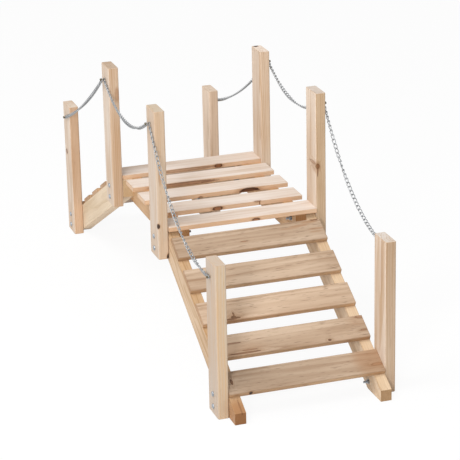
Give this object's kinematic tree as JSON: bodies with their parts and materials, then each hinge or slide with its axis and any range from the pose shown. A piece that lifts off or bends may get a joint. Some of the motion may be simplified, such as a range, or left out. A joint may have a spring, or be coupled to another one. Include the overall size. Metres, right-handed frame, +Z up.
{
  "type": "footbridge",
  "caption": "Small wooden garden footbridge with a level slatted deck, a slatted ramp down at each end, plank posts and a hanging chain on both sides.",
  "frame": {"origin": "centre of the bounding box at ground level", "axes": "+Y along the bridge from the near end to the far end, +X to the right, +Z up"},
  "size_m": [0.4852, 1.5292, 0.632],
  "materials": {
    "fir": "planed, unfinished",
    "zinc_steel": "zinc plated"
  },
  "bodies": {
    "root": {"bolts_far_deck_left": "zinc_steel", "bolts_far_deck_right": "zinc_steel", "bolts_far_end_left": "zinc_steel", "bolts_far_end_right": "zinc_steel", "bolts_near_deck_left": "zinc_steel", "bolts_near_deck_right": "zinc_steel", "bolts_near_end_left": "zinc_steel", "bolts_near_end_right": "zinc_steel", "chain_deck_left": "zinc_steel", "chain_deck_right": "zinc_steel", "chain_far_left": "zinc_steel", "chain_far_right": "zinc_steel", "chain_near_left": "zinc_steel", "chain_near_right": "zinc_steel", "chain_screws_left": "zinc_steel", "chain_screws_right": "zinc_steel", "deck_rail_left": "fir", "deck_rail_right": "fir", "deck_slat_1": "fir", "deck_slat_2": "fir", "deck_slat_3": "fir", "deck_slat_4": "fir", "deck_slat_5": "fir", "far_ramp_slat_1": "fir", "far_ramp_slat_2": "fir", "far_ramp_slat_3": "fir", "far_ramp_slat_4": "fir", "far_ramp_slat_5": "fir", "near_ramp_slat_1": "fir", "near_ramp_slat_2": "fir", "near_ramp_slat_3": "fir", "near_ramp_slat_4": "fir", "near_ramp_slat_5": "fir", "post_far_deck_left": "fir", "post_far_deck_right": "fir", "post_far_end_left": "fir", "post_far_end_right": "fir", "post_near_deck_left": "fir", "post_near_deck_right": "fir", "post_near_end_left": "fir", "post_near_end_right": "fir", "stringer_far_left": "fir", "stringer_far_right": "fir", "stringer_near_left": "fir", "stringer_near_right": "fir"}
  },
  "joints": []
}
